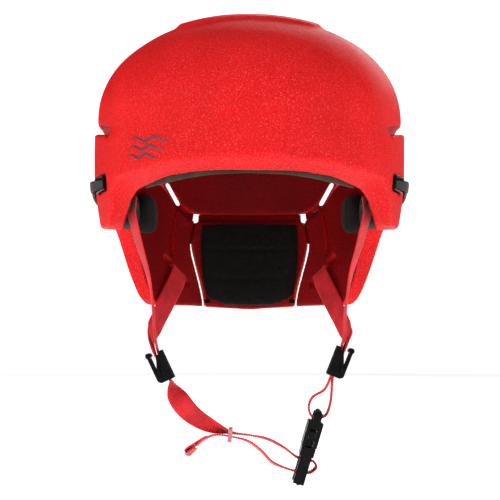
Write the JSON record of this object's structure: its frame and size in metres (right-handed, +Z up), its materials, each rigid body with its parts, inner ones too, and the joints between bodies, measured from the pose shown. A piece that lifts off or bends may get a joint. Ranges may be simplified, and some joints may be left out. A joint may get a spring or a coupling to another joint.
{
  "type": "water helmet",
  "caption": "Soft-shell water helmet with flexing rear flaps, an elastic fit band and a webbing chin harness with a side-release buckle.",
  "frame": {"origin": "middle of the head cavity at the level of the brow's lower edge", "axes": "+Z up towards the crown, -Y out of the face opening, +X towards the wearer's left side, which is on the right seen from the front"},
  "size_m": [0.2306, 0.278, 0.3389],
  "materials": {
    "shell_foam": "matt grained skin",
    "flap_foam": "matt grained skin",
    "liner_fabric": "matt knit",
    "pad_foam": "matt",
    "black_plastic": "fine grained",
    "band_elastic": "matt",
    "webbing": "woven",
    "rivet_metal": "satin",
    "ring_rubber": "semi-clear"
  },
  "bodies": {
    "shell": {"crown_shell": "shell_foam", "brow_liner": "liner_fabric", "temple_pad_left": "pad_foam", "temple_pad_right": "pad_foam", "temple_eyelet_left": "black_plastic", "temple_eyelet_right": "black_plastic", "rear_band": "band_elastic", "band_slider": "black_plastic", "front_anchor_left": "rivet_metal", "front_anchor_right": "rivet_metal", "rear_anchor_left": "black_plastic", "rear_anchor_right": "black_plastic", "adjuster_frame_left": "black_plastic", "adjuster_frame_right": "black_plastic", "adjuster_pin_left": "rivet_metal", "adjuster_pin_right": "rivet_metal", "buckle_female": "black_plastic", "front_strap_left": "webbing", "front_strap_right": "webbing", "rear_strap_left": "webbing", "rear_strap_right": "webbing", "chin_loop_right": "webbing"},
    "flap_left": {"rear_flap_left": "flap_foam", "side_pad_left": "pad_foam"},
    "flap_right": {"rear_flap_right": "flap_foam", "side_pad_right": "pad_foam"},
    "flap_center": {"rear_flap_center": "flap_foam", "rear_pad": "pad_foam", "nape_tab_left": "black_plastic", "nape_tab_right": "black_plastic"},
    "lever_left": {"adjuster_lever_left": "black_plastic"},
    "lever_right": {"adjuster_lever_right": "black_plastic"},
    "buckle_male": {"buckle_male": "black_plastic", "chin_strap": "webbing", "chin_strap_tail": "webbing", "strap_end_fold": "webbing", "keeper_ring": "ring_rubber"},
    "latch_a": {"buckle_latch_a": "black_plastic"},
    "latch_b": {"buckle_latch_b": "black_plastic"}
  },
  "joints": [
    {"name": "flap_left_flex", "type": "hinge", "parent": "shell", "child": "flap_left", "pos_m": [-0.0875, 0.0375, -0.02], "axis": [0, 0, -1], "range_deg": [0, 1.6], "stiffness_Nm_per_rad": 1.5},
    {"name": "flap_right_flex", "type": "hinge", "parent": "shell", "child": "flap_right", "pos_m": [0.0875, 0.0375, -0.02], "axis": [0, 0, 1], "range_deg": [0, 1.6], "stiffness_Nm_per_rad": 1.5},
    {"name": "flap_center_flex", "type": "hinge", "parent": "shell", "child": "flap_center", "pos_m": [0, 0.134, -0.008], "axis": [-1, 0, 0], "range_deg": [0, 2.2], "stiffness_Nm_per_rad": 1.5},
    {"name": "lever_left_swing", "type": "hinge", "parent": "shell", "child": "lever_left", "pos_m": [-0.06313, -0.01, -0.13416], "axis": [0, -1, 0], "range_deg": [0, 75]},
    {"name": "lever_right_swing", "type": "hinge", "parent": "shell", "child": "lever_right", "pos_m": [0.06483, -0.01, -0.13105], "axis": [0, 1, 0], "range_deg": [0, 75]},
    {"name": "buckle_release", "type": "slide", "parent": "shell", "child": "buckle_male", "axis": [-0.2874, 0, -0.9578], "range_m": [0, 0.02]},
    {"name": "latch_a_press", "type": "hinge", "parent": "buckle_male", "child": "latch_a", "pos_m": [0.0426, -0.0164, -0.1835], "axis": [-0.9578, 0, 0.2874], "range_deg": [0, 7], "stiffness_Nm_per_rad": 0.02},
    {"name": "latch_b_press", "type": "hinge", "parent": "buckle_male", "child": "latch_b", "pos_m": [0.0426, -0.0036, -0.1835], "axis": [0.9578, 0, -0.2874], "range_deg": [0, 7], "stiffness_Nm_per_rad": 0.02}
  ],
  "couplings": [
    {"joint": "latch_b_press", "follows": "latch_a_press", "ratio": 1}
  ]
}
